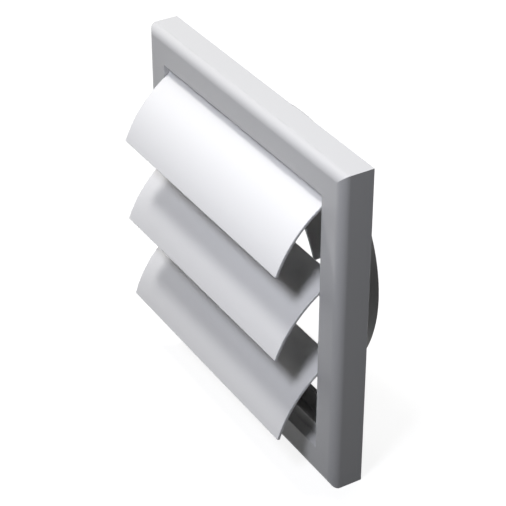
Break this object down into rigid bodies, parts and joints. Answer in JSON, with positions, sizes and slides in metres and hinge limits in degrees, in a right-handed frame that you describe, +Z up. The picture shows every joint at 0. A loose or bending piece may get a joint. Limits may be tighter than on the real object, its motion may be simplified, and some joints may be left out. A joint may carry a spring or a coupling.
{
  "type": "backdraft damper",
  "caption": "Square wall vent for a round duct, with curved gravity flaps that swing open with the air flow and fall shut against backdraft.",
  "frame": {"origin": "on the duct spigot's axis, in the wall plane that the frame's back edge rests on", "axes": "+Y along the spigot, into the wall; +Z up; +X to the right seen from the front. The flaps and the front face -Y."},
  "size_m": [0.187, 0.0631, 0.187],
  "materials": {
    "frame_plastic": "white moulded plastic, satin",
    "collar_plastic": "white moulded plastic, satin",
    "flap_plastic": "white moulded plastic, satin, smooth"
  },
  "bodies": {
    "housing": {"front_frame": "frame_plastic", "duct_collar": "collar_plastic"},
    "top_flap": {"flap_top": "flap_plastic"},
    "middle_flap": {"flap_middle": "flap_plastic"},
    "bottom_flap": {"flap_bottom": "flap_plastic"}
  },
  "joints": [
    {"name": "top_flap_hinge", "type": "hinge", "parent": "housing", "child": "top_flap", "pos_m": [0, -0.0135, 0.071], "axis": [-1, 0, 0], "range_deg": [-40.3, 36.7]},
    {"name": "middle_flap_hinge", "type": "hinge", "parent": "housing", "child": "middle_flap", "pos_m": [0, -0.0135, 0.02203], "axis": [-1, 0, 0], "range_deg": [-40.3, 36.7]},
    {"name": "bottom_flap_hinge", "type": "hinge", "parent": "housing", "child": "bottom_flap", "pos_m": [0, -0.0135, -0.02693], "axis": [-1, 0, 0], "range_deg": [-36.8, 40.2]}
  ]
}
